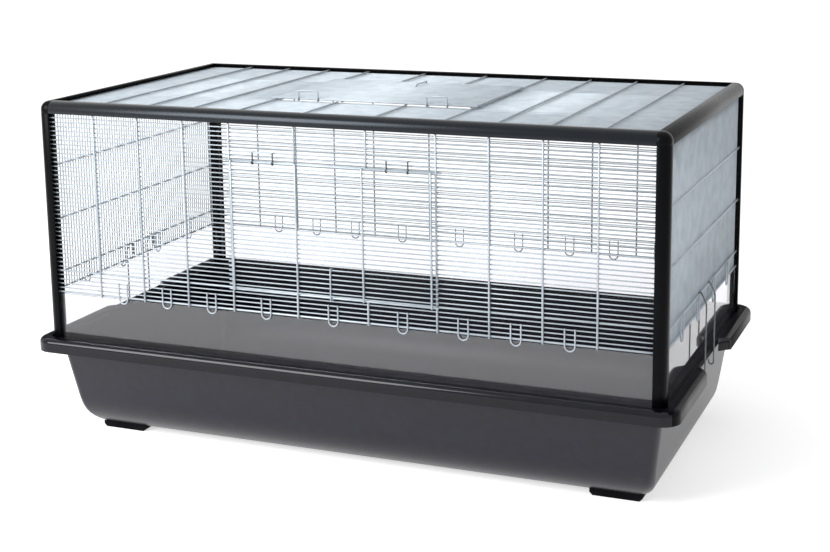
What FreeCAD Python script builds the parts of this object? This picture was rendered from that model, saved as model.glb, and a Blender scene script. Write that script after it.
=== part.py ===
import FreeCAD, Part
import math
import os
from collections import namedtuple

# Small-pet cage: a deep moulded tray, a black plastic edge frame, welded wire panels,
# clear strips between the panels and the tray, two wire doors and four wire clips.
# Millimetres, +X along the length, +Y to the back, +Z up, origin on the floor at the centre.

os.makedirs("parts", exist_ok=True)
V = FreeCAD.Vector
X = V(1, 0, 0)
Y = V(0, 1, 0)
Z = V(0, 0, 1)

# Edge frame: one extruded section with a rounded outer corner and two grooves
frame_length = 960.0
frame_width = 520.0
cage_height = 528.0
section = 18.0
section_round = 13.0
groove_depth = 5.0
wire_engagement = 4.0

# Wires and the plane, below the frame's outer faces, where thick bars meet fine wires
bar_d = 3.0
fine_d = 2.0
clip_d = 2.2
inset = 6.0

# Clearances
play = 0.3
running_play = 0.08
hook_play = 0.8
overrun = 5.0

# Wire panels: levels and spacings
mesh_bottom = 234.0
row_count = 41
door_bottom_row = 5
door_top_row = 33
side_gap_count = 70
roof_gap_count = 70
roof_door_gap_count = 31
door_column_mid = 110.0
door_column_outer = 103.7
column_count = 4
bar_tail = 1.0
bar_lap = 7.0
hook_bar_rise = 24.5
side_bar_count = 3

# Loops that hold the clear strips
loop_width = 12.0
loop_rise = 22.0
loop_drop = 9.0
loop_arc_count = 3
side_loop_inner = 54.0
side_loop_outer = 158.0

# Clear strips
strip_t = 1.5

# Doors
door_side_play = 5.2
door_wire_lap = 4.0
hinge_place = 103.3
hinge_span = 32.0
roof_hinge_height = 12.0
hinge_row_count = 2
latch_row_count = 6

# Side clips
clip_gap_count = 4.5
clip_knee_drop = 14.0
clip_tail = 18.0
clip_stand_off = 5.2
clip_tip_depth = 2.0
clip_tip_rise = 3.0
clip_arc_count = 4

# Tray: a trough with curved long walls, straight drafted ends and a skirted rim
tray_height = 163.0
ledge_drop = 5.0
ledge_play = 1.5
rim_overhang = 20.0
rim_corner = 28.0
rim_edge_bevel = 2.5
rim_skirt = 20.0
rim_wall = 3.0
tray_wall = 3.0
tub_inset_long = 32.0
tub_inset_short = 28.0
tub_draft_long_deg = 11.0
tub_draft_short_deg = 8.0
tub_round_long = 70.0
tub_round_short = 42.0
tub_corner = 12.0
tub_floor_cut = 2.0
notch_margin = 40.0
notch_wall = 2.0

# Feet
foot_height = 5.0
foot_length = 76.0
foot_width = 36.0
foot_end_inset = 64.0
foot_side_inset = 86.0
foot_bevel = 4.5

# Values worked out from those above
half_length = frame_length / 2
half_width = frame_width / 2
rail_under = cage_height - section
ledge_level = tray_height - ledge_drop
rim_bottom = tray_height - rim_skirt
groove_near = inset - bar_d - play
groove_far = inset + bar_d + play
end_long = half_length - section + wire_engagement
end_short = half_width - section + wire_engagement
wire_top = rail_under + wire_engagement
row_pitch = (rail_under - mesh_bottom) / row_count
side_pitch = (frame_width - 2 * section) / side_gap_count
roof_pitch = (frame_width - 2 * section) / roof_gap_count
roof_edge = roof_door_gap_count * roof_pitch / 2
door_head = roof_pitch - roof_edge
door_half = door_column_mid / 2 + door_column_outer
column_pitch = (half_length - section - door_half) / column_count
inner_column = door_column_mid / 2
outer_columns = [door_half + k * column_pitch for k in range(column_count)]
hook_bar_level = mesh_bottom + hook_bar_rise
side_bar_pitch = (rail_under - hook_bar_level) / side_bar_count
bar_foot = mesh_bottom - bar_d / 2 - bar_tail
strip_top = bar_foot - play
door_side = door_half - door_side_play
door_plane = inset - bar_d - play
door_inset = door_plane - bar_d
eye_wall = clip_d
clip_reach = clip_d / math.sqrt(3)
bar_reach = bar_d / math.sqrt(3)
door_bottom = mesh_bottom + door_bottom_row * row_pitch
door_top = mesh_bottom + door_top_row * row_pitch
rim_half_length = half_length + rim_overhang
rim_half_width = half_width + rim_overhang
clip_offset = clip_gap_count * side_pitch

# A side of the cage: u runs along it, v up it (back on the roof), n out of it
Side = namedtuple("Side", "u v n face")
front = Side(X, Z, -Y, half_width)
back = Side(X, Z, Y, half_width)
left = Side(Y, Z, -X, half_length)
right = Side(Y, Z, X, half_length)
roof = Side(X, Y, Z, cage_height)


def spot(side, u, v, depth):
    """The point at u, v on a side, at a depth below the frame's outer face."""
    return side.u * u + side.v * v + side.n * (side.face - depth)


def wire_section(centre, d, flat, across, sides):
    """Corners of a polygon round a wire's centre, with a face square to the flat direction."""
    reach = d / 2 / math.cos(math.pi / sides)
    turns = [math.pi * (2 * k + 1) / sides for k in range(sides)]
    return [centre + flat * (reach * math.cos(a)) + across * (reach * math.sin(a)) for a in turns]


def skin(sections):
    """A solid with flat faces between matching polygons."""
    count = len(sections[0])
    faces = []
    for low, high in zip(sections, sections[1:]):
        for k in range(count):
            n = (k + 1) % count
            faces.append(Part.Face(Part.makePolygon([low[k], low[n], high[n], high[k], low[k]])))
    for ring in (sections[0], sections[-1]):
        faces.append(Part.Face(Part.makePolygon(ring + ring[:1])))
    shell = Part.makeShell(faces)
    shell.sewShape()
    solid = Part.makeSolid(shell)
    if solid.Volume < 0:
        solid.reverse()
    return solid


def bent_wire(points, d, normal, sides=6):
    """A wire of polygonal section bent in the plane with this normal, its corners mitred."""
    runs = [(b - a).normalize() for a, b in zip(points, points[1:])]
    flanks = [normal.cross(run) for run in runs]
    sections = []
    for k, point in enumerate(points):
        before = flanks[max(k - 1, 0)]
        after = flanks[min(k, len(flanks) - 1)]
        mitre = (before + after) * (1 / (1 + before.dot(after)))
        sections.append(wire_section(point, d, normal, mitre, sides))
    return skin(sections)


def straight(side, start, end, d, depth):
    """A straight wire on a side, its flats facing out and in; the fine wires have four faces."""
    sides = 4 if d == fine_d else 6
    return bent_wire([spot(side, *start, depth), spot(side, *end, depth)], d, side.n, sides)


def round_wire(side, reach, v, d, depth):
    """A round wire along u, for something to turn on."""
    return Part.makeCylinder(d / 2, 2 * reach, spot(side, -reach, v, depth), side.u)


def eye(centre, axis, across, inner_d):
    """A closed wire eye round a rod, eight-sided, centred along its axis."""
    start = centre - axis * (eye_wall / 2)
    bore = inner_d / 2 + running_play
    along = axis.cross(across)
    rings = [wire_section(start, 2 * r, across, along, 8) for r in (bore, bore + eye_wall)]
    hole, outer = [Part.Face(Part.makePolygon(ring + ring[:1])) for ring in rings]
    return outer.cut(hole).extrude(axis * eye_wall)


def joined(shapes):
    """One solid from several that overlap."""
    return shapes[0].multiFuse(shapes[1:]).removeSplitter()


def save(name, shapes):
    """Write one node, a single solid or a group of them."""
    shape = shapes[0] if len(shapes) == 1 else Part.makeCompound(shapes)
    shape.exportStep(os.path.join("parts", name + ".step"))


def frame_section(corner, a, b, run):
    """The frame's section, drawn inwards from its outer corner and extruded."""
    def at(p, q):
        return corner + a * p + b * q

    s, r = section, section_round
    root = section - groove_depth
    path = [(r, 0), (s, 0), (s, groove_near), (root, groove_near), (root, groove_far), (s, groove_far),
            (s, s), (groove_far, s), (groove_far, root), (groove_near, root), (groove_near, s),
            (0, s), (0, r)]
    lines = Part.makePolygon([at(*p) for p in path])
    cut = r * (1 - math.sqrt(0.5))
    arc = Part.Arc(at(0, r), at(cut, cut), at(r, 0)).toShape()
    return Part.Face(Part.Wire(lines.Edges + [arc])).extrude(run)


def corner_cap(sx, sy):
    """A moulded cap on the frame's top corner, rounded like the section on its outer edges."""
    cap = Part.makeBox(section, section, section, V(half_length - section, half_width - section, rail_under))
    tip = V(half_length, half_width, cage_height)
    outer = [e for e in cap.Edges if any(v.Point.isEqual(tip, play) for v in e.Vertexes)]
    cap = cap.makeFillet(section_round, outer)
    if sx < 0:
        cap = cap.mirror(V(), X)
    if sy < 0:
        cap = cap.mirror(V(), Y)
    return cap


def build_frame():
    """Four top rails, four posts and four corner caps."""
    long_run = X * (frame_length - 2 * section)
    cross_run = Y * (frame_width - 2 * section)
    x0, y0 = half_length - section, half_width - section
    save("front_rail", [frame_section(V(-x0, -half_width, cage_height), Y, -Z, long_run)])
    save("back_rail", [frame_section(V(-x0, half_width, cage_height), -Y, -Z, long_run)])
    save("left_rail", [frame_section(V(-half_length, -y0, cage_height), X, -Z, cross_run)])
    save("right_rail", [frame_section(V(half_length, -y0, cage_height), -X, -Z, cross_run)])
    for sy, depth_name in ((-1, "front"), (1, "back")):
        for sx, side_name in ((-1, "left"), (1, "right")):
            foot = V(sx * half_length, sy * half_width, ledge_level)
            post = frame_section(foot, X * -sx, Y * -sy, Z * (rail_under - ledge_level))
            save(f"{depth_name}_{side_name}_post", [post])
    save("corner_caps", [corner_cap(sx, sy) for sx in (-1, 1) for sy in (-1, 1)])


def rows(side, numbers, spans, d):
    """Wires along u in the inner layer, one for each row number and span."""
    depth = inset + d / 2
    levels = [mesh_bottom + k * row_pitch for k in numbers]
    return [straight(side, (a, v), (b, v), d, depth) for v in levels for a, b in spans]


def front_panel():
    """Thick uprights outside, fine rows inside, with a bar round the door opening."""
    outer = inset - bar_d / 2
    whole = [(-end_long, end_long)]
    edge = door_half - bar_d / 2
    split = [(-end_long, -edge), (edge, end_long)]
    head = [(-door_half - bar_lap, door_half + bar_lap)]
    wires = []
    for u in [s * c for c in outer_columns for s in (-1, 1)]:
        wires.append(straight(front, (u, bar_foot), (u, wire_top), bar_d, outer))
    for u in (-inner_column, inner_column):
        wires.append(straight(front, (u, bar_foot), (u, door_bottom), bar_d, outer))
        wires.append(straight(front, (u, door_top), (u, wire_top), bar_d, outer))
    wires += rows(front, [0, door_bottom_row], whole, bar_d)
    wires += rows(front, [door_top_row], head, bar_d)
    wires += rows(front, range(door_bottom_row + 1, door_top_row), split, fine_d)
    beside = door_half + bar_lap
    wires += rows(front, [door_top_row], [(-end_long, -beside), (beside, end_long)], fine_d)
    rest = [k for k in range(1, row_count) if k < door_bottom_row or k > door_top_row]
    return wires + rows(front, rest, whole, fine_d)


def back_panel():
    """The same spacing as the front, with no door."""
    whole = [(-end_long, end_long)]
    wires = []
    for u in [s * c for c in outer_columns + [inner_column] for s in (-1, 1)]:
        wires.append(straight(back, (u, bar_foot), (u, wire_top), bar_d, inset - bar_d / 2))
    return wires + rows(back, [0], whole, bar_d) + rows(back, range(1, row_count), whole, fine_d)


def side_panel(side):
    """Fine uprights inside, thick rails outside; the clips turn on the lowest round rail."""
    outer = inset - bar_d / 2
    reach = (side_gap_count - 2) // 2
    bars = [mesh_bottom] + [hook_bar_level + k * side_bar_pitch for k in range(1, side_bar_count)]
    wires = [straight(side, (-end_short, v), (end_short, v), bar_d, outer) for v in bars]
    wires.append(round_wire(side, end_short, hook_bar_level, bar_d, outer))
    for k in range(-reach, reach + 1):
        u = k * side_pitch
        wires.append(straight(side, (u, mesh_bottom - bar_d / 2), (u, wire_top), fine_d, inset + fine_d / 2))
    return wires


def roof_panel():
    """Thick cross bars on top, fine wires below, with a framed opening and a hinge bar."""
    outer = inset - bar_d / 2
    inner = inset + fine_d / 2
    edge = door_half - bar_d / 2
    lap = door_half + bar_lap
    wires = []
    for u in [s * c for c in outer_columns for s in (-1, 1)]:
        wires.append(straight(roof, (u, -end_short), (u, end_short), bar_d, outer))
    for u in (-inner_column, inner_column):
        for sy in (-1, 1):
            wires.append(straight(roof, (u, sy * end_short), (u, sy * roof_edge), bar_d, outer))
    for k in range(roof_gap_count // 2):
        v = (k + 0.5) * roof_pitch
        for sy in (-1, 1):
            behind_hinge = abs(sy * v - door_head) < roof_pitch / 2
            if behind_hinge or v > roof_edge + roof_pitch / 2:
                wires.append(straight(roof, (-end_long, sy * v), (end_long, sy * v), fine_d, inner))
                continue
            start = edge
            if v > roof_edge - roof_pitch / 2:
                wires.append(straight(roof, (-lap, sy * v), (lap, sy * v), bar_d, inset + bar_d / 2))
                start = lap
            for sx in (-1, 1):
                ends = (sx * start, sy * v), (sx * end_long, sy * v)
                wires.append(straight(roof, *ends, fine_d, inner))
    wires.append(round_wire(roof, lap, -roof_edge, bar_d, inset - bar_d - bar_d / 2))
    return wires


def strip_loop(side, u, top, depth):
    """A U of wire welded to a panel's foot; a clear strip's edge sits behind it."""
    r = loop_width / 2
    centre = mesh_bottom - loop_drop + r
    turns = [math.pi * (1 + k / loop_arc_count) for k in range(loop_arc_count + 1)]
    arc = [(u + r * math.cos(a), centre + r * math.sin(a)) for a in turns]
    path = [(u - r, top)] + arc + [(u + r, top)]
    return bent_wire([spot(side, *p, depth) for p in path], clip_d, side.n, 4)


def build_loops():
    """Loops midway between the uprights on the long sides, four on each short side."""
    posts = sorted([s * c for c in outer_columns + [inner_column] for s in (-1, 1)])
    places = [(a + b) / 2 for a, b in zip(posts, posts[1:])]
    top = mesh_bottom + loop_rise
    for side, name in ((front, "front"), (back, "back")):
        save(name + "_strip_loops", [strip_loop(side, u, top, inset - clip_d / 2) for u in places])
    places = [s * c for c in (side_loop_inner, side_loop_outer) for s in (-1, 1)]
    top = hook_bar_level + bar_d
    depth = inset - bar_d - clip_d / 2
    for side, name in ((left, "left"), (right, "right")):
        save(name + "_strip_loops", [strip_loop(side, u, top, depth) for u in places])


def build_strips():
    """Clear strips from the tray's ledge to just under the wire, their ends in the posts' grooves."""
    for side, name, end in ((front, "front", end_long), (back, "back", end_long),
                            (left, "left", end_short), (right, "right", end_short)):
        near = inset + play
        corners = [(-end, near), (end, near), (end, near + strip_t), (-end, near + strip_t), (-end, near)]
        foot = Part.makePolygon([spot(side, u, ledge_level, depth) for u, depth in corners])
        save(name + "_clear_strip", [Part.Face(foot).extrude(Z * (strip_top - ledge_level))])


def door_uprights(side, start, end, depth):
    """A door's four thick wires, to which its cross wires are welded."""
    places = [-door_side, -door_side / 3, door_side / 3, door_side]
    return [straight(side, (u, start), (u, end), bar_d, depth) for u in places]


def build_front_door():
    """A wire door outside the front panel, uprights outermost; its top rod turns in the hinge clips."""
    bar_depth = door_inset + bar_d / 2
    fine_depth = door_inset + fine_d / 2
    reach = door_half + door_wire_lap
    wires = door_uprights(front, door_bottom - bar_d / 2, door_top, door_inset - bar_d / 2)
    wires.append(straight(front, (-reach, door_bottom), (reach, door_bottom), bar_d, bar_depth))
    wires.append(round_wire(front, reach, door_top, bar_d, bar_depth))
    for k in range(door_bottom_row + 1, door_top_row):
        v = mesh_bottom + k * row_pitch
        if k == door_bottom_row + latch_row_count:
            wires.append(round_wire(front, reach, v, fine_d, fine_depth))
        else:
            wires.append(straight(front, (-reach, v), (reach, v), fine_d, fine_depth))
    save("front_door", wires)
    save("front_door_hinge_clips", [front_hinge_clip(s * hinge_place) for s in (-1, 1)])
    pivot = mesh_bottom + (door_bottom_row + latch_row_count) * row_pitch
    save("front_door_latch", [latch(front, pivot, door_bottom, fine_depth)])


def front_hinge_clip(middle):
    """A wire staple fixed to the panel above the door, with an eye at the foot of each leg."""
    depth = door_inset + bar_d / 2
    top = door_top + hinge_row_count * row_pitch
    legs = [middle - hinge_span / 2, middle + hinge_span / 2]
    grip = bar_d / 2 + running_play + clip_reach
    shapes = []
    for u in legs:
        path = [(door_top + grip, depth), (top, depth), (top, inset)]
        shapes.append(eye(spot(front, u, door_top, depth), X, Z, bar_d))
        shapes.append(bent_wire([spot(front, u, v, d) for v, d in path], clip_d, X))
    shapes.append(straight(front, (legs[0], top), (legs[1], top), clip_d, depth))
    return joined(shapes)


def latch(side, pivot, edge, pivot_depth):
    """A wire finger with an eye on one of the door's wires, its tip turned in past the opening's bar."""
    way = 1 if edge > pivot else -1
    finger = door_inset - clip_reach - running_play
    tip = edge + way * (bar_d / 2 + hook_play + clip_d / 2)
    path = [(pivot, finger), (tip, finger), (tip, inset + bar_d / 2)]
    shapes = [eye(spot(side, 0, pivot, pivot_depth), X, Z, fine_d)]
    shapes.append(bent_wire([spot(side, 0, v, d) for v, d in path], clip_d, X))
    return joined(shapes)


def build_roof_door():
    """A wire door on the roof, uprights innermost, with clips that turn on the roof's hinge bar."""
    bar_depth = door_plane - bar_d / 2
    fine_depth = door_plane - fine_d / 2
    reach = door_half + door_wire_lap
    wires = door_uprights(roof, door_head - bar_d / 2, roof_edge + bar_d / 2, door_plane + bar_d / 2)
    for v in (door_head, roof_edge):
        wires.append(straight(roof, (-reach, v), (reach, v), bar_d, bar_depth))
    for k in range(2, roof_door_gap_count):
        v = k * roof_pitch - roof_edge
        if k == roof_door_gap_count - latch_row_count:
            wires.append(round_wire(roof, reach, v, fine_d, fine_depth))
        else:
            wires.append(straight(roof, (-reach, v), (reach, v), fine_d, fine_depth))
    save("roof_door", wires)
    save("roof_door_hinge_clips", [roof_hinge_clip(s * hinge_place, door_head - bar_reach) for s in (-1, 1)])
    pivot = roof_edge - latch_row_count * roof_pitch
    save("roof_door_latch", [latch(roof, pivot, roof_edge, fine_depth)])


def roof_hinge_clip(middle, bar_side):
    """An upright wire staple with an eye at each leg's foot and a tail welded to the door's front bar."""
    depth = inset - bar_d - bar_d / 2
    legs = [middle - hinge_span / 2, middle + hinge_span / 2]
    grip = bar_d / 2 + running_play + clip_reach
    top = depth - roof_hinge_height
    shapes = []
    for u in legs:
        shapes.append(eye(spot(roof, u, -roof_edge, depth), X, Z, bar_d))
        leg = [(-roof_edge, depth - grip), (-roof_edge, top)]
        tail = [(grip - roof_edge, depth), (bar_side, depth)]
        for run in (leg, tail):
            shapes.append(bent_wire([spot(roof, u, v, d) for v, d in run], clip_d, X))
    ends = [spot(roof, u, -roof_edge, top) for u in legs]
    shapes.append(bent_wire(ends, clip_d, Z))
    return joined(shapes)


def side_clip(side, u):
    """A wire clip that turns on a side panel's lowest rail and hooks under the tray's rim."""
    depth = inset - bar_d / 2
    grip = bar_d / 2 + running_play + clip_reach
    r = (clip_tip_depth + clip_stand_off) / 2
    middle = (clip_tip_depth - clip_stand_off) / 2
    tip_top = rim_bottom - hook_play
    turn = tip_top - clip_tip_rise
    angles = [math.pi * (1 + k / clip_arc_count) for k in range(clip_arc_count + 1)]
    arc = [(turn + r * math.sin(a), middle + r * math.cos(a)) for a in angles]
    path = [(hook_bar_level, depth - grip), (hook_bar_level - clip_knee_drop, -clip_stand_off)]
    path += arc + [(tip_top, clip_tip_depth)]
    tail = [(hook_bar_level, depth + grip), (hook_bar_level - clip_tail, depth + grip)]
    shapes = [eye(spot(side, u, hook_bar_level, depth), Y, Z, bar_d)]
    for run in (path, tail):
        shapes.append(bent_wire([spot(side, u, v, d) for v, d in run], clip_d, Y))
    return joined(shapes)


def rounded_block(half_x, half_y, corner, low, high):
    """A block with rounded upright edges."""
    block = Part.makeBox(2 * half_x, 2 * half_y, high - low, V(-half_x, -half_y, low))
    upright = [e for e in block.Edges if abs(e.tangentAt(e.FirstParameter).z) > 0.5]
    return block.makeFillet(corner, upright)


def trough(half_span, across, draft, radius, top, floor, run):
    """A trough's section with drafted walls, rounded into a flat floor, extruded to both sides."""
    lean = math.radians(draft)
    centre_z = floor - tub_floor_cut + radius
    low = -math.asin((centre_z - floor) / radius)
    wall = half_span - (top - centre_z) * math.tan(lean)
    centre_s = wall - radius / math.cos(lean)

    def at(s, z):
        return across * s + Z * z - run

    def on_arc(angle, sign):
        return at(sign * (centre_s + radius * math.cos(angle)), centre_z + radius * math.sin(angle))

    middle = (low - lean) / 2
    edges = []
    for sign in (1, -1):
        start, bend, end = [on_arc(angle, sign) for angle in (-lean, middle, low)]
        edges.append(Part.makeLine(at(sign * half_span, top), start))
        edges.append(Part.Arc(start, bend, end).toShape())
    edges.append(Part.makeLine(on_arc(low, -1), on_arc(low, 1)))
    edges.append(Part.makeLine(at(-half_span, top), at(half_span, top)))
    return Part.Face(Part.Wire(Part.__sortEdges__(edges))).extrude(run * 2)


def tub(wall, top):
    """The tray's well: its outside with no wall, its inside with one."""
    def half(span, draft):
        lean = math.radians(draft)
        return span - wall / math.cos(lean) + (top - rim_bottom) * math.tan(lean)

    floor = foot_height + wall
    long_half = half(rim_half_length - tub_inset_short, tub_draft_short_deg)
    wide_half = half(rim_half_width - tub_inset_long, tub_draft_long_deg)
    ends = trough(long_half, X, tub_draft_short_deg, tub_round_short - wall, top, floor, Y * rim_half_width)
    sides = trough(wide_half, Y, tub_draft_long_deg, tub_round_long - wall, top, floor, X * rim_half_length)
    return sides.common(ends)


def leans(edge):
    """True for the straight edges where the drafted walls meet."""
    low, high = edge.Vertexes[0].Point, edge.Vertexes[-1].Point
    run = high - low
    flat = min(abs(run.x), abs(run.y), abs(run.z)) < play
    return isinstance(edge.Curve, Part.Line) and not flat


def build_tray():
    """The tray in one moulding: well, ledge, border, hollow skirted rim and clip notches."""
    sharp = tub(0, ledge_level - tray_wall / 2)
    outside = sharp.makeFillet(tub_corner, [e for e in sharp.Edges if leans(e)])
    inside = tub(tray_wall, tray_height + overrun)
    rim = rounded_block(rim_half_length, rim_half_width, rim_corner, rim_bottom, tray_height)
    edges = [e for e in rim.Edges if all(abs(v.Z - tray_height) < play for v in e.Vertexes)]
    rim = rim.makeChamfer(rim_edge_bevel, edges)
    seat_x, seat_y = half_length + ledge_play, half_width + ledge_play
    seat_corner = section_round - ledge_play
    seat = rounded_block(seat_x, seat_y, seat_corner, ledge_level, tray_height + overrun)
    within = (rim_half_length - rim_wall, rim_half_width - rim_wall, rim_corner - rim_wall)
    channel = rounded_block(*within, rim_bottom - overrun, ledge_level - tray_wall).cut(outside)
    border = rounded_block(*within, rim_bottom - overrun, tray_height - rim_wall)
    kept = rounded_block(seat_x + rim_wall, seat_y + rim_wall, seat_corner + rim_wall,
                         rim_bottom - 2 * overrun, tray_height + overrun)
    channel = channel.fuse(border.cut(kept))
    notch_face = seat_x + notch_wall
    notch_half = clip_offset + clip_d / 2 + notch_margin
    notches = []
    for sx in (-1, 1):
        middle = sx * (notch_face + rim_half_length) / 2
        channel = channel.cut(plain_block(middle, rim_half_length - notch_face + 2 * notch_wall,
                                          notch_half + rim_wall, rim_bottom - 2 * overrun, tray_height))
        notches.append(plain_block(sx * (notch_face + rim_half_length + overrun) / 2,
                                   rim_half_length + overrun - notch_face,
                                   notch_half, rim_bottom - overrun, tray_height + overrun))
    body = outside.fuse(rim).cut(inside).cut(seat).cut(channel)
    for notch in notches:
        body = body.cut(notch)
    save("base_tray", [body.removeSplitter()])
    return sharp


def plain_block(middle, length, half_y, low, high):
    """A box centred at x = middle and y = 0."""
    return Part.makeBox(length, 2 * half_y, high - low, V(middle - length / 2, -half_y, low))


def build_feet(tray_block):
    """Four pads under the tray's corners, shaped to its curved underside."""
    x1 = rim_half_length - foot_end_inset
    y1 = rim_half_width - foot_side_inset
    corner = V(x1 - foot_length, y1 - foot_width, 0)
    pad = Part.makeBox(foot_length, foot_width, tub_round_long, corner)
    floor_edges = [e for e in pad.Edges if e.BoundBox.ZMax < play]
    ends = [e for e in floor_edges if e.BoundBox.XLength < play]
    pad = pad.makeChamfer(foot_bevel, ends).cut(tray_block)
    pad = min(pad.Solids, key=lambda s: s.BoundBox.ZMin)
    for sy, depth_name in ((-1, "front"), (1, "back")):
        for sx, side_name in ((-1, "left"), (1, "right")):
            foot = pad if sx > 0 else pad.mirror(V(), X)
            foot = foot if sy > 0 else foot.mirror(V(), Y)
            save(f"{depth_name}_{side_name}_foot", [foot])


build_frame()
save("front_panel", front_panel())
save("back_panel", back_panel())
save("left_panel", side_panel(left))
save("right_panel", side_panel(right))
save("roof_panel", roof_panel())
build_loops()
build_strips()
build_front_door()
build_roof_door()
for side, name in ((left, "left"), (right, "right")):
    save(f"{name}_front_clip", [side_clip(side, -clip_offset)])
    save(f"{name}_back_clip", [side_clip(side, clip_offset)])
build_feet(build_tray())
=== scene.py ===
import math
import bpy
from mathutils import Euler, Matrix, Vector


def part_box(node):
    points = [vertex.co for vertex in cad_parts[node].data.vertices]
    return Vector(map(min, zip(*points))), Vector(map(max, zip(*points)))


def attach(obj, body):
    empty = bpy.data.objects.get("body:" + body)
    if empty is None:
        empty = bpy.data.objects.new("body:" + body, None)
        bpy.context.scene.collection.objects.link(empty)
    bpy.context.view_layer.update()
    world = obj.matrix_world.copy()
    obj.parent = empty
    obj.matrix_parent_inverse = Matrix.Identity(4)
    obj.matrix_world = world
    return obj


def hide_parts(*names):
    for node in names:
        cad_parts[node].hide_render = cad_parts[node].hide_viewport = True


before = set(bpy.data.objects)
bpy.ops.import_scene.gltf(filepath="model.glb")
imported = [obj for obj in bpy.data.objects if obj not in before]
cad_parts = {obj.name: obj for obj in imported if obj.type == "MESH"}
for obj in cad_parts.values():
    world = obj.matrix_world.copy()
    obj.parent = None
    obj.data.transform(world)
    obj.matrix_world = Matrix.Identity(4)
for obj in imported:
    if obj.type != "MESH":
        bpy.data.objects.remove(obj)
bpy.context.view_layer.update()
MM = 0.001

# Outer faces in millimetres, from the frame's boxes
front_face = -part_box("front_rail")[0].y / MM
side_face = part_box("right_rail")[1].x / MM
roof_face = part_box("front_rail")[1].z / MM
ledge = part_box("front_left_post")[0].z / MM
tray_length = 2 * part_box("base_tray")[1].x / MM
tray_width = 2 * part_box("base_tray")[1].y / MM

# Sizes in millimetres, as in the part's source where it has them: first the wire and its clearances
bar_d = 3.0
fine_d = 2.0
clip_d = 2.2
bar_sides = 12
fine_sides = 8
wire_end_round = 0.35
bend_round = 2.6
bend_steps = 4
eye_steps = 12
play = 0.3
running_play = 0.08
hook_play = 0.8

# Edge frame; the inset is where thick and fine wires meet, below the frame's face
section = 18.0
section_round = 13.0
rail_steps = 10
cap_steps = 8
groove_depth = 5.0
edge_soft = 0.5
inset = 6.0
engagement = 4.0

# Wire panels
mesh_bottom = 234.0
row_count = 41
door_rows = (5, 33)
column_mid = 110.0
column_outer = 103.7
column_count = 4
gap_count = 70
roof_door_gaps = 31
bar_tail = 1.0
bar_lap = 7.0
hook_bar_rise = 24.5
side_bar_count = 3

# Doors, their staples and latches
door_side_play = 5.2
door_wire_lap = 4.0
door_bar_count = 4
hinge_place = 103.3
hinge_span = 32.0
hinge_rows = 2
roof_hinge_height = 12.0
front_staple_turn = 1.7 * math.pi
roof_staple_turn = 1.9 * math.pi
latch_rows = 6
latch_lead = 4.0
latch_bend = 1.2
latch_turn = 1.75 * math.pi

# Strip loops, wider here than in the source, and side clips
loop_width = 14.6
loop_rise = 22.0
loop_drop = 9.0
loop_bend_share = 0.98
side_loops = (54.0, 158.0)
clip_gap_count = 4.5
clip_knee_drop = 14.0
clip_tail = 18.0
clip_stand_off = 5.2
clip_tip_depth = 2.0
clip_tip_rise = 3.0
clip_bend_share = 0.97

# Tray; its upper edge is rounder here than in the source
tray_floor = 5.0
wall_t = 3.0
rim_top_rise = 5.0
rim_corner = 28.0
rim_skirt = 20.0
rim_wall = 3.0
rim_round = 8.0
rim_steps = 6
ledge_play = 1.5
seat_edge_round = 1.2
tub_inset = {"long": 32.0, "short": 28.0}
tub_lean = {"long": math.radians(11), "short": math.radians(8)}
tub_round = {"long": 70.0, "short": 42.0}
tub_corner = 12.0
tub_floor_cut = 2.0
well_rises = (0, 0.6, 1.6, 3, 5, 8, 12, 17, 23, 30, 38, 47, 57)
corner_steps = 10
notch_margin = 40.0
notch_wall = 2.0
notch_side_wall = 3.0

# Shading and edge limits
smooth_angle = math.radians(50)
sharp_angle = math.radians(60)
underside = -0.5

# Levels, layers and pitches that follow from the sizes
under = roof_face - section
wire_top = under + engagement
row_pitch = (under - mesh_bottom) / row_count
cross_pitch = 2 * (front_face - section) / gap_count
roof_edge = roof_door_gaps * cross_pitch / 2
door_head = cross_pitch - roof_edge
inner_column = column_mid / 2
door_half = inner_column + column_outer
column_pitch = (side_face - section - door_half) / column_count
columns = [door_half + k * column_pitch for k in range(column_count)]
end_long = side_face - section + engagement
end_short = front_face - section + engagement
bar_foot = mesh_bottom - bar_d / 2 - bar_tail
hook_bar = mesh_bottom + hook_bar_rise
side_bar_pitch = (under - hook_bar) / side_bar_count
door_bottom, door_top = [mesh_bottom + k * row_pitch for k in door_rows]
door_side = door_half - door_side_play
door_plane = inset - bar_d - play
door_inset = door_plane - bar_d
outer_layer = inset - bar_d / 2
inner_layer = inset + bar_d / 2
fine_layer = inset + fine_d / 2
hinge_bar_depth = outer_layer - bar_d
grip = (bar_d + clip_d) / 2 + running_play
clip_offset = clip_gap_count * cross_pitch
notch_half = clip_offset + clip_d / 2 + notch_margin
tray_top = ledge + rim_top_rise
rim_bottom = tray_top - rim_skirt
under_ledge = ledge - wall_t

X, Y, Z = Vector((1, 0, 0)), Vector((0, 1, 0)), Vector((0, 0, 1))
SIDES = {"front": (X, Z, -Y, front_face), "back": (X, Z, Y, front_face),
         "left": (Y, Z, -X, side_face), "right": (Y, Z, X, side_face), "roof": (X, Y, Z, roof_face)}


def at(side, u, v, depth):
    """The point at u, v on a side of the cage, at a depth below the frame's outer face."""
    along, up, out, face = SIDES[side]
    return (along * u + up * v + out * (face - depth)) * MM


def pairs(values):
    """Each value on both sides of the middle."""
    return [s * v for v in values for s in (-1, 1)]


def start_clean():
    """Object mode with nothing selected."""
    if bpy.context.object and bpy.context.object.mode != "OBJECT":
        bpy.ops.object.mode_set(mode="OBJECT")
    bpy.ops.object.select_all(action="DESELECT")


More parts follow.
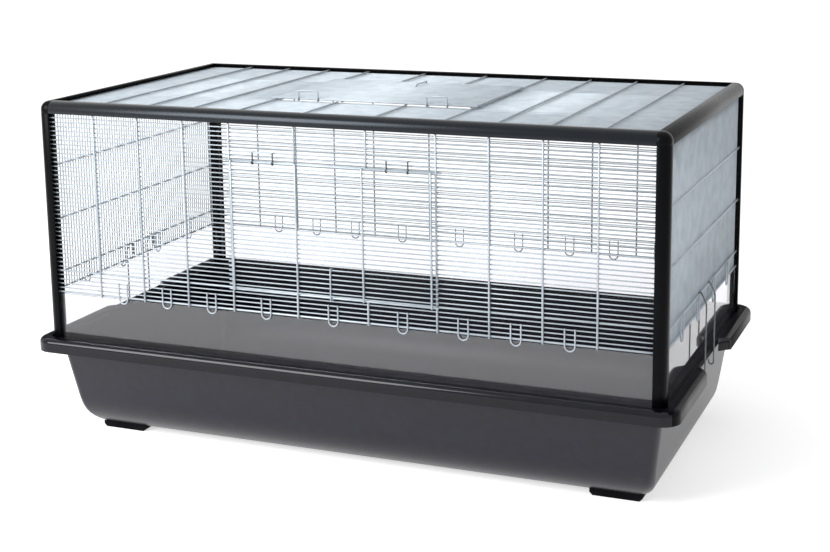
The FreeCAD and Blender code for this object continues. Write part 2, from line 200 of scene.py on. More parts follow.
def edit_with(obj, wanted):
    """Edit mode with the vertices selected whose place passes a test."""
    bpy.ops.object.mode_set(mode="EDIT")
    bpy.ops.mesh.select_mode(type="VERT")
    bpy.ops.mesh.select_all(action="DESELECT")
    bpy.ops.object.mode_set(mode="OBJECT")
    for vertex in obj.data.vertices:
        vertex.select = wanted(vertex.co)
    bpy.ops.object.mode_set(mode="EDIT")


def apply_modifier(obj, kind, **settings):
    """A modifier added to the active object and applied."""
    modifier = obj.modifiers.new(kind.title(), kind)
    for name, value in settings.items():
        setattr(modifier, name, value)
    bpy.ops.object.modifier_apply(modifier=modifier.name)


def soften(obj):
    """Sharp edges of a moulding taken off."""
    apply_modifier(obj, "BEVEL", width=edge_soft * MM, segments=2,
                   limit_method="ANGLE", angle_limit=sharp_angle)


def wires(side, start, end, d, depth, count=1, step=(0, 0)):
    """A straight round wire with softened ends, repeated at a step along u and v."""
    a, b = at(side, *start, depth), at(side, *end, depth)
    sides = fine_sides if d == fine_d else bar_sides
    turn = (b - a).to_track_quat("Z", "Y").to_euler()
    start_clean()
    bpy.ops.mesh.primitive_cylinder_add(vertices=sides, radius=d / 2 * MM, depth=(b - a).length,
                                        location=(a + b) / 2, rotation=turn)
    obj = bpy.context.object
    bpy.ops.object.transform_apply()
    bpy.ops.object.mode_set(mode="EDIT")
    bpy.ops.mesh.select_all(action="DESELECT")
    bpy.ops.mesh.select_face_by_sides(number=sides, type="EQUAL")
    bpy.ops.mesh.bevel(offset=wire_end_round * MM, segments=1)
    bpy.ops.object.mode_set(mode="OBJECT")
    if count > 1:
        shift = at(side, *step, 0) - at(side, 0, 0, 0)
        apply_modifier(obj, "ARRAY", count=count, use_relative_offset=False,
                       use_constant_offset=True, constant_offset_displace=shift)
    return obj


def bent(points, d, bend=bend_round, curl=None):
    """A wire bent along points, its corners rounded.

    Curl is the centre, axis and angle of an eye at its end.
    """
    start_clean()
    bpy.ops.mesh.primitive_plane_add(size=d * MM, location=points[0])
    obj = bpy.context.object
    bpy.ops.object.transform_apply()
    bpy.ops.object.mode_set(mode="EDIT")
    bpy.ops.mesh.select_all(action="SELECT")
    bpy.ops.mesh.merge(type="CENTER")
    for a, b in zip(points, points[1:]):
        bpy.ops.mesh.extrude_region_move(TRANSFORM_OT_translate={"value": b - a})
    bpy.ops.object.mode_set(mode="OBJECT")
    near = d * MM / 10
    corners = points[1:-1]
    if corners:
        edit_with(obj, lambda co: any((co - p).length < near for p in corners))
        bpy.ops.mesh.bevel(offset=bend * MM, segments=bend_steps, affect="VERTICES")
        bpy.ops.object.mode_set(mode="OBJECT")
    if curl:
        centre, axis, angle = curl
        edit_with(obj, lambda co: (co - points[-1]).length < near)
        bpy.ops.mesh.spin(steps=eye_steps, angle=angle, center=centre, axis=axis)
        bpy.ops.object.mode_set(mode="OBJECT")
    bpy.ops.object.convert(target="CURVE")
    obj.data.bevel_depth = d / 2 * MM
    obj.data.bevel_resolution = 2
    obj.data.use_fill_caps = True
    bpy.ops.object.convert(target="MESH")
    return bpy.context.object


def copy_of(obj, shift=(0, 0, 0), mirror=(1, 1, 1)):
    """A copy with its own mesh, moved or mirrored."""
    start_clean()
    obj.select_set(True)
    bpy.context.view_layer.objects.active = obj
    bpy.ops.object.duplicate()
    twin = bpy.context.object
    bpy.ops.object.mode_set(mode="EDIT")
    bpy.ops.mesh.select_all(action="SELECT")
    bpy.ops.transform.resize(value=mirror, center_override=(0, 0, 0))
    bpy.ops.transform.translate(value=shift)
    bpy.ops.mesh.normals_make_consistent(inside=False)
    bpy.ops.object.mode_set(mode="OBJECT")
    return twin


def finished(name, pieces, node, body, look):
    """Pieces joined into the one that stands for a CAD node; those with no finish get this one."""
    start_clean()
    for piece in pieces:
        piece.select_set(True)
        if not piece.data.materials:
            piece.data.materials.append(look)
    bpy.context.view_layer.objects.active = pieces[0]
    if len(pieces) > 1:
        bpy.ops.object.join()
    obj = bpy.context.object
    obj.name = name
    bpy.ops.object.shade_smooth_by_angle(angle=smooth_angle)
    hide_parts(node)
    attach(obj, body)


# Shares and depths that all finishes have in common
cloud_ratio = 20
grain_detail = 4
tone_stops = (0.35, 0.65)
relief_depth = 0.0004


def node_look(name, colours, roughness, grain, bump, metallic=0.0, specular=0.5, tint=(1, 1, 1)):
    """A procedural finish: two close tones, uneven roughness and a fine grain."""
    look = bpy.data.materials.new(name)
    look.use_nodes = True
    nodes, links = look.node_tree.nodes, look.node_tree.links
    shader = nodes["Principled BSDF"]
    place = nodes.new("ShaderNodeTexCoord")
    cloud = nodes.new("ShaderNodeTexNoise")
    cloud.inputs["Scale"].default_value = grain / cloud_ratio
    fine = nodes.new("ShaderNodeTexNoise")
    fine.inputs["Scale"].default_value = grain
    fine.inputs["Detail"].default_value = grain_detail
    tones = nodes.new("ShaderNodeValToRGB")
    for k, colour in enumerate(colours):
        tones.color_ramp.elements[k].color = (*colour, 1)
        tones.color_ramp.elements[k].position = tone_stops[k]
    sheen = nodes.new("ShaderNodeMapRange")
    sheen.inputs["To Min"].default_value = roughness[0]
    sheen.inputs["To Max"].default_value = roughness[1]
    relief = nodes.new("ShaderNodeBump")
    relief.inputs["Strength"].default_value = bump
    relief.inputs["Distance"].default_value = relief_depth
    for texture in (cloud, fine):
        links.new(place.outputs["Object"], texture.inputs["Vector"])
    links.new(cloud.outputs["Fac"], tones.inputs["Fac"])
    links.new(tones.outputs["Color"], shader.inputs["Base Color"])
    links.new(fine.outputs["Fac"], sheen.inputs["Value"])
    links.new(sheen.outputs["Result"], shader.inputs["Roughness"])
    links.new(fine.outputs["Fac"], relief.inputs["Height"])
    links.new(relief.outputs["Normal"], shader.inputs["Normal"])
    shader.inputs["Metallic"].default_value = metallic
    shader.inputs["Specular IOR Level"].default_value = specular
    shader.inputs["Specular Tint"].default_value = (*tint, 1)
    return look


def clear_look():
    """Clear sheet with a trace of haze."""
    look = node_look("clear_acrylic_look", ((0.91, 0.91, 0.96), (0.94, 0.94, 0.98)), (0.01, 0.04), 60, 0.0)
    shader = look.node_tree.nodes["Principled BSDF"]
    shader.inputs["Transmission Weight"].default_value = 0.975
    shader.inputs["IOR"].default_value = 1.49
    return look


zinc = node_look("zinc_wire_look", ((0.41, 0.465, 0.512), (0.49, 0.545, 0.592)),
                 (0.28, 0.42), 900, 0.05, metallic=0.25)
# Darker copy of the zinc wire for the front staples' legs: painted shade round their curls
shade_painted_leg_wire = node_look("shade_painted_leg_wire_look", ((0.05, 0.055, 0.06), (0.08, 0.085, 0.09)),
                      (0.3, 0.45), 900, 0.05, metallic=0.5)
# Darker copy of the zinc wire for the side clips: painted shade
painted_shade_clip_steel = node_look("painted_shade_clip_steel_look", ((0.13, 0.14, 0.15), (0.19, 0.20, 0.21)),
                      (0.3, 0.45), 900, 0.05, metallic=0.5)
black_tones = ((0.001, 0.0012, 0.0018), (0.002, 0.0023, 0.003))
black = node_look("frame_plastic_look", black_tones, (0.24, 0.32), 700, 0.05, specular=0.07)
# Glossier, blue-tinted copy of the frame black for the front rail alone: painted highlight along the lit
# front
front_rail_painted_highlight = node_look("front_rail_painted_highlight_look", black_tones, (0.24, 0.32), 700, 0.05, specular=0.34,
                        tint=(0.78, 0.88, 1.0))
grey = node_look("tray_plastic_look", ((0.003, 0.003, 0.010), (0.006, 0.006, 0.015)),
                 (0.26, 0.36), 1400, 0.08, specular=0.44)
rim_gloss = node_look("tray_rim_look", ((0.002, 0.002, 0.005), (0.004, 0.004, 0.008)),
                      (0.08, 0.14), 1400, 0.04, specular=0.28)
# Duller copy of the tray plastic for the well's inner faces, reflecting less: painted shade inside the well
inside_painted_shade = node_look("tray_inside_painted_shade_look", ((0.004, 0.004, 0.009), (0.006, 0.006, 0.012)),
                  (0.26, 0.32), 1400, 0.02, specular=0.1)
# Near-black look that hardly reflects, for the tray's seat: painted shade in the groove
seat_painted_shade = node_look("tray_seat_painted_shade_look", ((0.002, 0.002, 0.004), (0.004, 0.004, 0.006)),
                       (0.4, 0.5), 1400, 0.02, specular=0.01)
rubber = node_look("foot_plastic_look", ((0.003, 0.003, 0.004), (0.006, 0.006, 0.007)),
                   (0.5, 0.7), 900, 0.1, specular=0.05)
clear = clear_look()


def fine_rows(side, first, last, spans):
    """Fine wires across, from one row number to another."""
    level = mesh_bottom + first * row_pitch
    return [wires(side, (a, level), (b, level), fine_d, fine_layer, last - first + 1, (0, row_pitch))
            for a, b in spans]


def thick_row(side, row, reach):
    """A thick wire across, inside the uprights."""
    level = mesh_bottom + row * row_pitch
    return wires(side, (-reach, level), (reach, level), bar_d, inner_layer)


def outer_uprights(side, low, high):
    """Thick wires on both sides of the door opening, out to the corners."""
    return [wires(side, (s * door_half, low), (s * door_half, high), bar_d, outer_layer,
                  column_count, (s * column_pitch, 0)) for s in (-1, 1)]


def front_panel():
    """Front wires, left out where the door opening is."""
    edge, lap = door_half - bar_d / 2, door_half + bar_lap
    whole = [(-end_long, end_long)]
    split = [(-end_long, -edge), (edge, end_long)]
    beside = [(-end_long, -lap), (lap, end_long)]
    low, high = door_rows
    parts = outer_uprights("front", bar_foot, wire_top)
    for u in pairs([inner_column]):
        parts.append(wires("front", (u, bar_foot), (u, door_bottom), bar_d, outer_layer))
        parts.append(wires("front", (u, door_top), (u, wire_top), bar_d, outer_layer))
    parts += [thick_row("front", 0, end_long), thick_row("front", low, end_long)]
    parts.append(thick_row("front", high, lap))
    parts += fine_rows("front", 1, low - 1, whole) + fine_rows("front", low + 1, high - 1, split)
    parts += fine_rows("front", high, high, beside) + fine_rows("front", high + 1, row_count - 1, whole)
    return parts


def back_panel():
    """Back wires, with no opening."""
    parts = outer_uprights("back", bar_foot, wire_top)
    for u in pairs([inner_column]):
        parts.append(wires("back", (u, bar_foot), (u, wire_top), bar_d, outer_layer))
    parts.append(thick_row("back", 0, end_long))
    return parts + fine_rows("back", 1, row_count - 1, [(-end_long, end_long)])


def side_panel(side):
    """Fine uprights of a short side, and its thick rails outside them."""
    first = -(gap_count - 2) // 2 * cross_pitch
    uprights = wires(side, (first, mesh_bottom - bar_d / 2), (first, wire_top), fine_d, fine_layer,
                     gap_count - 1, (cross_pitch, 0))
    lowest = wires(side, (-end_short, mesh_bottom), (end_short, mesh_bottom), bar_d, outer_layer)
    rails = wires(side, (-end_short, hook_bar), (end_short, hook_bar), bar_d, outer_layer,
                  side_bar_count, (0, side_bar_pitch))
    return [uprights, lowest, rails]


def roof_panel():
    """Roof wires round the door opening, and the bar that the roof door hangs on."""
    edge, lap = door_half - bar_d / 2, door_half + bar_lap
    parts = outer_uprights("roof", -end_short, end_short)
    beside = (gap_count - roof_door_gaps - 1) // 2
    outermost = (gap_count // 2 - 0.5) * cross_pitch
    first = door_head + cross_pitch
    for s in (-1, 1):
        for u in pairs([inner_column]):
            parts.append(wires("roof", (u, s * end_short), (u, s * roof_edge), bar_d, outer_layer))
        parts.append(wires("roof", (-end_long, s * outermost), (end_long, s * outermost),
                           fine_d, fine_layer, beside, (0, -s * cross_pitch)))
        parts.append(wires("roof", (-lap, s * roof_edge), (lap, s * roof_edge), bar_d, inner_layer))
        for v in pairs([roof_edge]):
            parts.append(wires("roof", (s * lap, v), (s * end_long, v), fine_d, fine_layer))
        parts.append(wires("roof", (s * edge, first), (s * end_long, first), fine_d, fine_layer,
                           roof_door_gaps - 2, (0, cross_pitch)))
    parts.append(wires("roof", (-end_long, door_head), (end_long, door_head), fine_d, fine_layer))
    parts.append(wires("roof", (-lap, -roof_edge), (lap, -roof_edge), bar_d, hinge_bar_depth))
    return parts


def strip_loops(side, places, top, depth):
    """One loop modelled, the others copied along the side."""
    r = loop_width / 2
    low = mesh_bottom - loop_drop
    path = [(-r, top), (-r, low), (r, low), (r, top)]
    first = bent([at(side, places[0] + u, v, depth) for u, v in path], clip_d, bend=r * loop_bend_share)
    along = SIDES[side][0]
    return [first] + [copy_of(first, along * (p - places[0]) * MM) for p in places[1:]]


def door_wires(side, low, high, rows, upright_depth, cross_plane, deeper):
    """A door's thick and fine wires; the cross wires lie on one side of cross_plane."""
    reach = door_half + door_wire_lap
    foot, head = low - bar_d / 2, high + bar_d / 2
    step = 2 * door_side / (door_bar_count - 1)
    parts = [wires(side, (-door_side, foot), (-door_side, head), bar_d, upright_depth,
                   door_bar_count, (step, 0))]
    for v in (low, high):
        parts.append(wires(side, (-reach, v), (reach, v), bar_d, cross_plane + deeper * bar_d / 2))
    first, count, pitch = rows
    parts.append(wires(side, (-reach, first), (reach, first), fine_d, cross_plane + deeper * fine_d / 2,
                       count, (0, pitch)))
    return parts


def front_staple(middle):
    """A staple over the front door's rod: legs curled round the rod, shoulders turned in to the panel."""
    depth = door_inset + bar_d / 2
    top = door_top + hinge_rows * row_pitch
    left, right = middle - hinge_span / 2, middle + hinge_span / 2
    parts = [bent([at("front", left, top, inset), at("front", left, top, depth),
                   at("front", right, top, depth), at("front", right, top, inset)], clip_d)]
    for u in (left, right):
        rod = at("front", u, door_top, depth)
        leg = bent([at("front", u, top, depth), at("front", u, door_top + grip, depth)], clip_d,
                   curl=(rod, X, front_staple_turn))
        # The legs take the darker wire copy, painted shade where they curl round the rod
        leg.data.materials.append(shade_painted_leg_wire)
        parts.append(leg)
    return parts


def roof_staple(middle):
    """An upright staple: legs down to the hinge bar, tails curled round it from the door's front bar."""
    left, right = middle - hinge_span / 2, middle + hinge_span / 2
    bar_side = door_head - bar_d / 2
    top = hinge_bar_depth - roof_hinge_height
    foot = hinge_bar_depth - grip
    parts = [bent([at("roof", left, -roof_edge, foot), at("roof", left, -roof_edge, top),
                   at("roof", right, -roof_edge, top), at("roof", right, -roof_edge, foot)], clip_d)]
    for u in (left, right):
        bar = at("roof", u, -roof_edge, hinge_bar_depth)
        tail = [at("roof", u, bar_side, hinge_bar_depth), at("roof", u, grip - roof_edge, hinge_bar_depth)]
        parts.append(bent(tail, clip_d, curl=(bar, X, roof_staple_turn)))
    return parts


def latch(side, pivot, edge, pivot_depth):
    """A finger curled round one of the door's wires, its tip turned in past the opening's bar."""
    way = 1 if edge > pivot else -1
    eye_r = (fine_d + clip_d) / 2 + running_play
    finger = min(pivot_depth - eye_r, door_inset - clip_d / 2 - running_play)
    tip = edge + way * (bar_d / 2 + hook_play + clip_d / 2)
    path = [(tip, inner_layer), (tip, finger), (pivot + way * latch_lead, finger),
            (pivot, pivot_depth - eye_r)]
    turn = way if side == "roof" else -way
    eye = (at(side, 0, pivot, pivot_depth), X, turn * latch_turn)
    return [bent([at(side, 0, v, depth) for v, depth in path], clip_d, bend=latch_bend, curl=eye)]


def side_clip(side, u):
    """A wire clip curled round the side panel's hook rail, its foot hooked under the tray's lip."""
    r = (clip_tip_depth + clip_stand_off) / 2
    tip_top = rim_bottom - hook_play
    low = tip_top - clip_tip_rise - r
    path = [(tip_top, clip_tip_depth), (low, clip_tip_depth), (low, -clip_stand_off),
            (hook_bar - clip_knee_drop, -clip_stand_off), (hook_bar, outer_layer - grip)]
    turn = math.pi if side == "right" else -math.pi
    eye = (at(side, u, hook_bar, outer_layer), Y, turn)
    body = bent([at(side, u, v, depth) for v, depth in path], clip_d, bend=r * clip_bend_share, curl=eye)
    behind = outer_layer + grip
    tail = bent([at(side, u, hook_bar, behind), at(side, u, hook_bar - clip_tail, behind)], clip_d)
    return [body, tail]


def block(low, high):
    """A box between two corners, its place in its mesh."""
    start_clean()
    bpy.ops.mesh.primitive_cube_add(size=1, location=(low + high) / 2)
    bpy.ops.transform.resize(value=high - low)
    bpy.ops.object.transform_apply()
    return bpy.context.object


def frame_bar(node, outer):
    """A rail or post: its outer edge rounded, a groove in each inner face for the wire panels."""
    low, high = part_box(node)
    obj = block(low, high)
    near, far = inset - bar_d - play, inset + bar_d + play
    tiny = play * MM / 10
    faces = {axis: (high if sign > 0 else low)[axis] for axis, sign in outer.items()}
    edit_with(obj, lambda co: all(abs(co[axis] - place) < tiny for axis, place in faces.items()))
    bpy.ops.mesh.bevel(offset=section_round * MM, segments=rail_steps)
    bpy.ops.object.mode_set(mode="OBJECT")
    for axis, other in (tuple(outer), tuple(outer)[::-1]):
        inner = (low if outer[axis] > 0 else high)[axis]
        cuts = sorted(faces[other] - outer[other] * depth * MM for depth in (near, far))
        across = Vector([1 if k == other else 0 for k in range(3)])
        for cut in cuts:
            edit_with(obj, lambda co: abs(co[axis] - inner) < tiny)
            bpy.ops.mesh.bisect(plane_co=across * cut, plane_no=across)
            bpy.ops.object.mode_set(mode="OBJECT")
        edit_with(obj, lambda co: abs(co[axis] - inner) < tiny
                  and cuts[0] - tiny < co[other] < cuts[1] + tiny)
        sink = Vector([outer[axis] * groove_depth * MM if k == axis else 0 for k in range(3)])
        bpy.ops.mesh.extrude_region_move(TRANSFORM_OT_translate={"value": sink})
        bpy.ops.object.mode_set(mode="OBJECT")
    soften(obj)
    return obj


def corner_caps():
    """One cap with its three outer edges rounded, and three mirrored copies."""
    tip = Vector((side_face, front_face, roof_face)) * MM
    cap = block(tip - Vector((section, section, section)) * MM, tip)
    bpy.ops.object.mode_set(mode="EDIT")
    bpy.ops.mesh.select_mode(type="EDGE")
    bpy.ops.mesh.select_all(action="DESELECT")
    bpy.ops.object.mode_set(mode="OBJECT")
    for edge in cap.data.edges:
        edge.select = any((cap.data.vertices[v].co - tip).length < play * MM for v in edge.vertices)
    bpy.ops.object.mode_set(mode="EDIT")
    bpy.ops.mesh.bevel(offset=section_round * MM, segments=cap_steps)
    bpy.ops.object.mode_set(mode="OBJECT")
    soften(cap)
    return [cap] + [copy_of(cap, mirror=m) for m in ((-1, 1, 1), (1, -1, 1), (-1, -1, 1))]


def tub_half(which, z):
    """Half the well's outer length or width at a height: a drafted wall that rounds into the floor."""
    span = (tray_length if which == "short" else tray_width) / 2 - tub_inset[which]
    lean, r = tub_lean[which], tub_round[which]
    centre_z = tray_floor - tub_floor_cut + r
    centre = span - (rim_bottom - centre_z) * math.tan(lean) - r / math.cos(lean)
    if z > centre_z - r * math.sin(lean):
        return span - (rim_bottom - z) * math.tan(lean)
    return centre + math.sqrt(r * r - (z - centre_z) ** 2)


def rounded_sheet(half_x, half_y, z, corner):
    """A flat sheet with rounded corners."""
    start_clean()
    bpy.ops.mesh.primitive_plane_add(size=2 * MM, location=(0, 0, z * MM))
    bpy.ops.transform.resize(value=(half_x, half_y, 1))
    bpy.ops.object.transform_apply()
    bpy.ops.object.mode_set(mode="EDIT")
    bpy.ops.mesh.select_all(action="SELECT")
    bpy.ops.mesh.bevel(offset=corner * MM, segments=corner_steps, affect="VERTICES")
    bpy.ops.object.mode_set(mode="OBJECT")
    return bpy.context.object


def ring_move(dz=0.0, scale=(1, 1)):
    """The selected ring extruded, then raised and sized."""
    bpy.ops.mesh.extrude_region_move(TRANSFORM_OT_translate={"value": (0, 0, dz * MM)})
    bpy.ops.transform.resize(value=(*scale, 1), center_override=(0, 0, 0))


def tray_well():
    """The well drawn up from its floor, level by level, then given its wall thickness."""
    levels = [tray_floor + rise for rise in well_rises] + [under_ledge]
    size = [(tub_half("short", z), tub_half("long", z)) for z in levels]
    obj = rounded_sheet(*size[0], levels[0], tub_corner)
    bpy.ops.object.mode_set(mode="EDIT")
    bpy.ops.mesh.select_all(action="SELECT")
    for k in range(1, len(levels)):
        ring_move(levels[k] - levels[k - 1], (size[k][0] / size[k - 1][0], size[k][1] / size[k - 1][1]))
    bpy.ops.mesh.delete(type="ONLY_FACE")
    bpy.ops.mesh.select_all(action="SELECT")
    bpy.ops.mesh.normals_make_consistent(inside=False)
    bpy.ops.object.mode_set(mode="OBJECT")
    obj.data.materials.append(grey)
    obj.data.materials.append(inside_painted_shade)
    # The inner faces take the duller copy of the tray plastic, painted shade
    apply_modifier(obj, "SOLIDIFY", thickness=wall_t * MM, offset=-1, material_offset=1)
    return obj


def tray_rim():
    """The border, the ledge inside it and the hollow skirt outside it."""
    half_x, half_y = tray_length / 2, tray_width / 2
    seat_x, seat_y = side_face + ledge_play, front_face + ledge_play
    middle_x, middle_y = (half_x + seat_x) / 2 * MM, (half_y + seat_y) / 2 * MM
    top, low = tray_top * MM, under_ledge * MM

    def outside(co):
        return abs(co.x) > middle_x or abs(co.y) > middle_y

    def at_top(co):
        return abs(co.z - top) < play * MM

    # Flat border between two rounded outlines
    inner = rounded_sheet(seat_x, seat_y, tray_top, section_round - ledge_play)
    obj = rounded_sheet(half_x, half_y, tray_top, rim_corner)
    inner.select_set(True)
    bpy.ops.object.join()
    bpy.ops.object.mode_set(mode="EDIT")
    bpy.ops.mesh.select_all(action="SELECT")
    bpy.ops.mesh.delete(type="ONLY_FACE")
    bpy.ops.mesh.select_all(action="SELECT")
    bpy.ops.mesh.bridge_edge_loops()
    bpy.ops.object.mode_set(mode="OBJECT")

    # Skirt down from the outer edge, and back up inside it to the well
    edit_with(obj, outside)
    ring_move(-rim_skirt)
    ring_move(0, ((half_x - rim_wall) / half_x, (half_y - rim_wall) / half_y))
    ring_move(under_ledge - rim_bottom)
    wide = tub_half("short", under_ledge), tub_half("long", under_ledge)
    ring_move(0, (wide[0] / (half_x - rim_wall), wide[1] / (half_y - rim_wall)))
    bpy.ops.object.mode_set(mode="OBJECT")

    # Seat down from the inner edge, and the ledge in to the well
    edit_with(obj, lambda co: at_top(co) and not outside(co))
    ring_move(-rim_top_rise)
    inside = wide[0] - wall_t, wide[1] - wall_t
    ring_move(0, (inside[0] / seat_x, inside[1] / seat_y))
    ring_move(-wall_t)
    bpy.ops.object.mode_set(mode="OBJECT")

    # Both ends joined under the ledge, then the upper edges rounded
    edit_with(obj, lambda co: abs(co.z - low) < play * MM / 10 and abs(co.x) < (wide[0] + play) * MM
              and abs(co.y) < (wide[1] + play) * MM)
    bpy.ops.mesh.bridge_edge_loops()
    bpy.ops.mesh.select_all(action="SELECT")
    bpy.ops.mesh.normals_make_consistent(inside=False)
    bpy.ops.object.mode_set(mode="OBJECT")
    edit_with(obj, lambda co: at_top(co) and outside(co))
    bpy.ops.mesh.bevel(offset=rim_round * MM, segments=rim_steps)
    bpy.ops.object.mode_set(mode="OBJECT")
    edit_with(obj, lambda co: at_top(co) and abs(co.x) < (seat_x + play) * MM
              and abs(co.y) < (seat_y + play) * MM)
    bpy.ops.mesh.bevel(offset=seat_edge_round * MM, segments=2)
    bpy.ops.object.mode_set(mode="OBJECT")
    return obj


def rim_finishes(rim):
    """Gloss on the long outer edges; painted shade on the seat, a near-black look that hardly reflects, and
    on the short ends, which take the frame black.
    """
    for look in (rim_gloss, seat_painted_shade, black):
        rim.data.materials.append(look)
    inner_x, inner_y = (tray_length / 2 - rim_round) * MM, (tray_width / 2 - rim_round) * MM
    for face in rim.data.polygons:
        inside = abs(face.center.x) < inner_x and abs(face.center.y) < inner_y
        # Seat faces take the painted shade; faces of the short ends take the frame black as painted shade
        if inside and face.normal.z > underside:
            face.material_index = 1
        elif abs(face.normal.x) > abs(face.normal.y):
            face.material_index = 2


def tray():
    """Well and rim with two notches cut, their ends splayed outwards, and a wall at each end of a notch."""
    rim = tray_rim()
    notch_face = side_face + ledge_play + notch_wall
    ends = []
    for s in (-1, 1):
        x0, x1 = sorted((s * notch_face, s * (tray_length / 2 + rim_skirt)))
        cutter = block(Vector((x0, -notch_half, rim_bottom - rim_skirt)) * MM,
                       Vector((x1, notch_half, tray_top + rim_skirt)) * MM)
        splay = 1 + (x1 - x0) / notch_half
        edit_with(cutter, lambda co: abs(co.x) > tray_length / 2 * MM)
        bpy.ops.transform.resize(value=(1, splay, 1), center_override=(0, 0, 0))
        start_clean()
        rim.select_set(True)
        bpy.context.view_layer.objects.active = rim
        apply_modifier(rim, "BOOLEAN", operation="DIFFERENCE", object=cutter, solver="EXACT")
        bpy.data.objects.remove(cutter)
        x0, x1 = sorted((s * notch_face, s * (tray_length / 2 - rim_wall / 2)))
        for sy in (-1, 1):
            y0, y1 = sorted((sy * notch_half, sy * (notch_half + notch_side_wall)))
            wall = block(Vector((x0, y0, rim_bottom)) * MM, Vector((x1, y1, ledge)) * MM)
            edit_with(wall, lambda co: abs(co.x) > (notch_face + notch_wall) * MM)
            bpy.ops.transform.translate(value=(0, sy * (x1 - x0) * MM, 0))
            bpy.ops.object.mode_set(mode="OBJECT")
            apply_modifier(wall, "BEVEL", width=edge_soft * MM, segments=2)
            wall.data.materials.append(rim_gloss)
            ends.append(wall)
    rim_finishes(rim)
    return [rim, tray_well()] + ends


def wire_piece(node, parts, body="cage", look=zinc):
    """Wires joined into the piece that stands for a CAD node."""
    finished(node + "_wires", parts, node, body, look)


def frame_piece(name, parts, node, look=black):
    """Mouldings of the edge frame joined into the piece that stands for a CAD node."""
    finished(name, parts, node, "cage", look)


wire_piece("front_panel", front_panel())
wire_piece("back_panel", back_panel())
wire_piece("left_panel", side_panel("left"))
wire_piece("right_panel", side_panel("right"))
wire_piece("roof_panel", roof_panel())

uprights = sorted(pairs(columns + [inner_column]))
midway = [(a + b) / 2 for a, b in zip(uprights, uprights[1:])]
for side in ("front", "back"):
    wire_piece(side + "_strip_loops",
               strip_loops(side, midway, mesh_bottom + loop_rise, inset - clip_d / 2))
for side in ("left", "right"):
    wire_piece(side + "_strip_loops",
               strip_loops(side, pairs(side_loops), hook_bar + bar_d, inset - bar_d - clip_d / 2))

low_row, high_row = door_rows
front_rows = (door_bottom + row_pitch, high_row - low_row - 1, row_pitch)
wire_piece("front_door", door_wires("front", door_bottom, door_top, front_rows, door_inset - bar_d / 2,
                                    door_inset, 1), "front_door")
wire_piece("front_door_hinge_clips", front_staple(-hinge_place) + front_staple(hinge_place))
front_pivot = door_bottom + latch_rows * row_pitch
wire_piece("front_door_latch", latch("front", front_pivot, door_bottom, door_inset + fine_d / 2),
           "front_latch")

roof_rows = (door_head + cross_pitch, roof_door_gaps - 2, cross_pitch)
wire_piece("roof_door", door_wires("roof", door_head, roof_edge, roof_rows, door_plane + bar_d / 2,
                                   door_plane, -1), "roof_door")
wire_piece("roof_door_hinge_clips", roof_staple(-hinge_place) + roof_staple(hinge_place), "roof_door")
roof_pivot = roof_edge - latch_rows * cross_pitch
wire_piece("roof_door_latch", latch("roof", roof_pivot, roof_edge, door_plane - fine_d / 2),
           "roof_latch")
for side in ("left", "right"):
    for end, s in (("front", -1), ("back", 1)):
        name = f"{side}_{end}_clip"
        # The side clips take the darker wire copy, painted shade
        wire_piece(name, side_clip(side, s * clip_offset), name, painted_shade_clip_steel)

# Axis and sense of each side's outer face
outward = {"front": (1, -1), "back": (1, 1), "left": (0, -1), "right": (0, 1)}
# The front rail takes the glossier copy of the frame black, a painted highlight
for side, (axis, sign) in outward.items():
    rail = side + "_rail"
    frame_piece(rail + "_moulding", [frame_bar(rail, {axis: sign, 2: 1})], rail,
                front_rail_painted_highlight if side == "front" else black)
for end in ("front", "back"):
    for side in ("left", "right"):
        post = f"{end}_{side}_post"
        faces_out = dict((outward[end], outward[side]))
        frame_piece(post + "_moulding", [frame_bar(post, faces_out)], post)
frame_piece("corner_cap_mouldings", corner_caps(), "corner_caps")
finished("tray_moulding", tray(), "base_tray", "cage", grey)

# Finishes of the CAD nodes, in view or replaced
for name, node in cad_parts.items():
    look = black
    if name == "base_tray":
        look = grey
    elif name.endswith("_foot"):
        look = rubber
    elif name.endswith("_clear_strip"):
        look = clear
    elif node.hide_render:
        look = zinc
    node.data.materials.clear()
    node.data.materials.append(look)


def fit_camera():
    """The camera that was fitted to the photo."""
    azimuth, elevation, roll = math.radians(22.371), math.radians(11.114), math.radians(-0.745)
    target, distance = Vector((0.0086, 0.0326, 0.3826)), 2.40125
    focal_px, centre_y_px, side_shift_px = 1530.5, 180.8, 0.8
    image_w_px, image_h_px, sensor_mm = 830, 552, 36
    away = Vector((math.sin(azimuth) * math.cos(elevation), -math.cos(azimuth) * math.cos(elevation),
                   math.sin(elevation)))
    start_clean()
    bpy.ops.object.camera_add(location=target + away * distance)
    camera = bpy.context.object
    aim = Euler((math.pi / 2 - elevation, 0, azimuth)).to_matrix() @ Matrix.Rotation(roll, 3, "Z")
    camera.rotation_euler = aim.to_euler()
    camera.data.sensor_width = sensor_mm
    camera.data.lens = focal_px / image_w_px * sensor_mm
    camera.data.shift_x = side_shift_px / image_w_px
    camera.data.shift_y = (centre_y_px - image_h_px / 2) / image_w_px
    bpy.context.scene.camera = camera


def soft_light(name, place, aim_at, width, height, power):
    """A large rectangular lamp that faces a point."""
    bpy.ops.object.light_add(type="AREA", location=place)
    lamp = bpy.context.object
    lamp.name = name
    lamp.data.shape = "RECTANGLE"
    lamp.data.size = width
    lamp.data.size_y = height
    lamp.data.energy = power
    lamp.rotation_euler = (Vector(aim_at) - Vector(place)).to_track_quat("-Z", "Y").to_euler()


def seen_directly(tree):
    """1 for the rays of the camera, of reflections and through clear sheet, otherwise 0."""
    path = tree.nodes.new("ShaderNodeLightPath")
    first, both = tree.nodes.new("ShaderNodeMath"), tree.nodes.new("ShaderNodeMath")
    first.operation = both.operation = "MAXIMUM"
    tree.links.new(path.outputs["Is Camera Ray"], first.inputs[0])
    tree.links.new(path.outputs["Is Glossy Ray"], first.inputs[1])
    tree.links.new(first.outputs[0], both.inputs[0])
    tree.links.new(path.outputs["Is Transmission Ray"], both.inputs[1])
    return both.outputs[0]


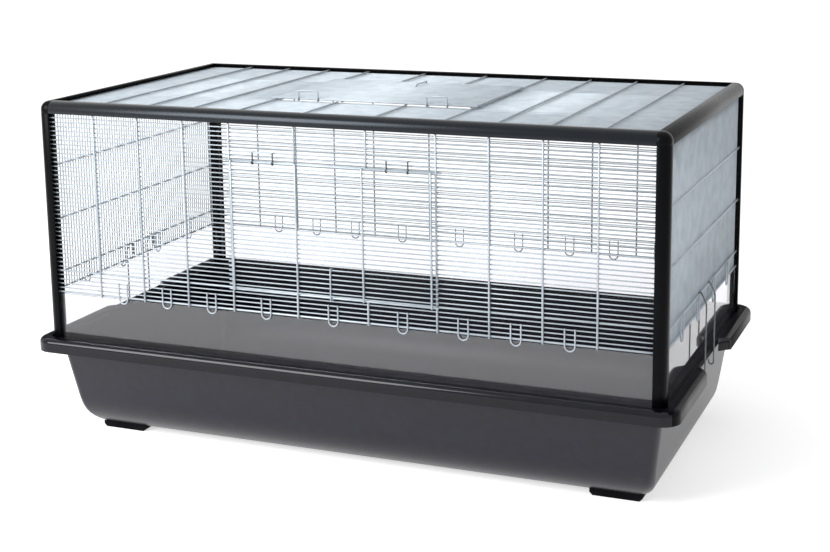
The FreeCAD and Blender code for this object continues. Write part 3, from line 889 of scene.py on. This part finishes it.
def white_room(share):
    """White surroundings, which light the cage with a share of what is seen of them."""
    world = bpy.data.worlds.new("white_room")
    bpy.context.scene.world = world
    world.use_nodes = True
    tree = world.node_tree
    sky = tree.nodes["Background"]
    sky.inputs["Color"].default_value = (1, 1, 1, 1)
    level = tree.nodes.new("ShaderNodeMapRange")
    level.inputs["To Min"].default_value = share
    level.inputs["To Max"].default_value = 1.0
    tree.links.new(seen_directly(tree), level.inputs["Value"])
    tree.links.new(level.outputs["Result"], sky.inputs["Strength"])


def paper_floor(size, near, near_glow, far, far_glow):
    """A pale floor that keeps the cage's shadow, and glows more with distance where it is seen directly."""
    start_clean()
    bpy.ops.mesh.primitive_plane_add(size=size)
    floor = bpy.context.object
    floor.name = "floor"
    paper = node_look("floor_look", ((0.80, 0.80, 0.80), (0.84, 0.84, 0.84)),
                      (0.8, 0.9), 4, 0.0, specular=0.0)
    tree = paper.node_tree
    shader = tree.nodes["Principled BSDF"]
    shader.inputs["Emission Color"].default_value = (1, 1, 1, 1)
    place = tree.nodes.new("ShaderNodeTexCoord")
    reach = tree.nodes.new("ShaderNodeVectorMath")
    reach.operation = "LENGTH"
    fade = tree.nodes.new("ShaderNodeMapRange")
    fade.inputs["From Min"].default_value = near
    fade.inputs["From Max"].default_value = far
    fade.inputs["To Min"].default_value = near_glow
    fade.inputs["To Max"].default_value = far_glow
    glow = tree.nodes.new("ShaderNodeMath")
    glow.operation = "MULTIPLY"
    tree.links.new(place.outputs["Object"], reach.inputs[0])
    tree.links.new(reach.outputs["Value"], fade.inputs["Value"])
    tree.links.new(fade.outputs["Result"], glow.inputs[0])
    tree.links.new(seen_directly(tree), glow.inputs[1])
    tree.links.new(glow.outputs[0], shader.inputs["Emission Strength"])
    floor.data.materials.append(paper)


fit_camera()
soft_light("top_light", (-0.2, 0.4, 3.0), (0, 0, 0.3), width=3.0, height=3.0, power=8)
soft_light("front_light", (-1.6, -2.4, 1.7), (0, 0, 0.35), width=1.7, height=1.8, power=105)
white_room(share=0.52)
paper_floor(size=80, near=0.5, near_glow=0.6, far=2.5, far_glow=0.66)

bpy.context.scene.view_settings.view_transform = "Standard"
